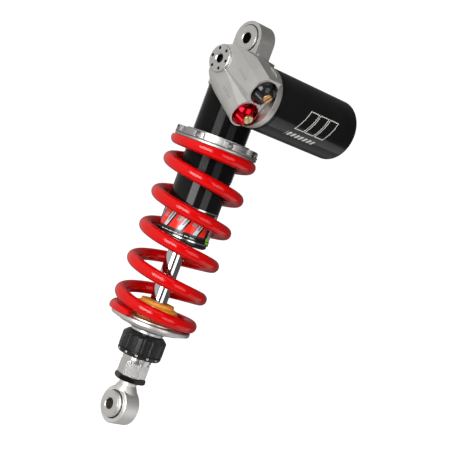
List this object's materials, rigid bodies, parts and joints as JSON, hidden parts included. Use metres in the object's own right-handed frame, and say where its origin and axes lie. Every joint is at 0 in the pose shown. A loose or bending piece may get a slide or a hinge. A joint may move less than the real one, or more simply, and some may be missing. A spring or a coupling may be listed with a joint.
{
  "type": "rear shock absorber",
  "caption": "Rear coil-over shock absorber with a piggyback reservoir, adjuster knobs in the head arm, threaded preload ring, red coil spring, fluted rebound dial and spherical eye bearings.",
  "frame": {"origin": "centre of the upper eye bore", "axes": "+Z along the damper axis towards the upper eye, X along both eye bores with the reservoir lying along +X, -Y towards the reservoir side"},
  "size_m": [0.132, 0.1232, 0.3822],
  "materials": {
    "machined_aluminium": "satin machined",
    "bearing_steel": "ground",
    "hard_chrome": "polished",
    "steel_small_parts": "plain",
    "black_anodised": "gloss black anodised",
    "red_anodised": "gloss red anodised",
    "red_powder_coat": "gloss powder coat",
    "brass_screws": "plain",
    "seal_rubber": "matt",
    "orange_foam": "matt elastomer",
    "ptfe_band": "filled plastic"
  },
  "bodies": {
    "damper": {"head_block": "machined_aluminium", "upper_bearing_race": "bearing_steel", "upper_circlips": "steel_small_parts", "valve_plug": "machined_aluminium", "plug_oring": "seal_rubber", "check_valve": "steel_small_parts", "reservoir_body": "black_anodised", "reservoir_end_cap": "black_anodised", "gas_valve": "brass_screws", "end_cap_clip": "steel_small_parts", "damper_tube": "black_anodised", "seal_head": "black_anodised", "rod_wiper": "seal_rubber", "seal_head_clip": "steel_small_parts", "coil_spring": "red_powder_coat"},
    "upper_bearing": {"upper_ball": "bearing_steel", "upper_spacers": "machined_aluminium"},
    "low_speed_adjuster": {"lo_comp_knob": "black_anodised", "lo_comp_screw": "brass_screws", "lo_comp_needle": "steel_small_parts"},
    "high_speed_adjuster": {"hi_comp_knob": "red_anodised", "hi_comp_screw": "brass_screws", "hi_comp_needle": "steel_small_parts"},
    "gas_piston": {"floating_piston": "machined_aluminium", "floating_piston_seal": "seal_rubber"},
    "upper_seat": {"upper_spring_seat": "machined_aluminium"},
    "preload_nut": {"preload_ring": "machined_aluminium"},
    "rod": {"piston_rod": "hard_chrome", "damper_piston": "machined_aluminium", "piston_band": "ptfe_band", "piston_shims": "steel_small_parts", "piston_nut": "steel_small_parts", "top_out_ring": "seal_rubber", "bump_stop": "orange_foam", "lower_spring_seat": "machined_aluminium", "seat_retainer": "machined_aluminium", "clevis_body": "machined_aluminium", "lock_nut": "black_anodised", "lower_eye": "machined_aluminium", "lower_bearing_race": "bearing_steel", "lower_circlips": "steel_small_parts"},
    "rebound_rod": {"rebound_needle": "steel_small_parts"},
    "rebound_dial": {"rebound_knob": "black_anodised"},
    "lower_bearing": {"lower_ball": "bearing_steel", "lower_spacers": "machined_aluminium"}
  },
  "joints": [
    {"name": "stroke", "type": "slide", "parent": "damper", "child": "rod", "axis": [0, 0, 1], "range_m": [0, 0.055], "stiffness_N_per_m": 95000, "springref_m": -0.012, "deforming": ["coil_spring"]},
    {"name": "gas_piston_slide", "type": "slide", "parent": "damper", "child": "gas_piston", "axis": [1, 0, 0], "range_m": [0, 0.0062]},
    {"name": "preload_turn", "type": "hinge", "parent": "upper_seat", "child": "preload_nut", "pos_m": [0, 0, -0.096], "axis": [0, 0, 1], "range_deg": [0, 2900]},
    {"name": "preload_slide", "type": "slide", "parent": "damper", "child": "upper_seat", "axis": [0, 0, 1], "range_m": [0, 0.012]},
    {"name": "low_speed_turn", "type": "hinge", "parent": "damper", "child": "low_speed_adjuster", "pos_m": [-0.0369, -0.06794, -0.04224], "axis": [0, -0.8545, -0.5195], "range_deg": [-360, 360]},
    {"name": "high_speed_turn", "type": "hinge", "parent": "damper", "child": "high_speed_adjuster", "pos_m": [-0.0369, -0.05495, -0.06361], "axis": [0, -0.8545, -0.5195], "range_deg": [-360, 360]},
    {"name": "rebound_turn", "type": "hinge", "parent": "rod", "child": "rebound_dial", "pos_m": [0, 0, -0.291], "axis": [0, 0, 1], "range_deg": [0, 725]},
    {"name": "rebound_needle_slide", "type": "slide", "parent": "rod", "child": "rebound_rod", "axis": [0, 0, 1], "range_m": [0, 0.002]},
    {"name": "upper_eye_swivel", "type": "hinge", "parent": "damper", "child": "upper_bearing", "pos_m": [0, 0, 0], "axis": [1, 0, 0], "continuous": true},
    {"name": "lower_eye_swivel", "type": "hinge", "parent": "rod", "child": "lower_bearing", "pos_m": [0, 0, -0.3485], "axis": [1, 0, 0], "continuous": true}
  ],
  "couplings": [
    {"joint": "gas_piston_slide", "follows": "stroke", "ratio": 0.10662},
    {"joint": "preload_turn", "follows": "preload_slide", "rad_per_m": 4188.8},
    {"joint": "rebound_turn", "follows": "rebound_needle_slide", "rad_per_m": 6283.2}
  ]
}
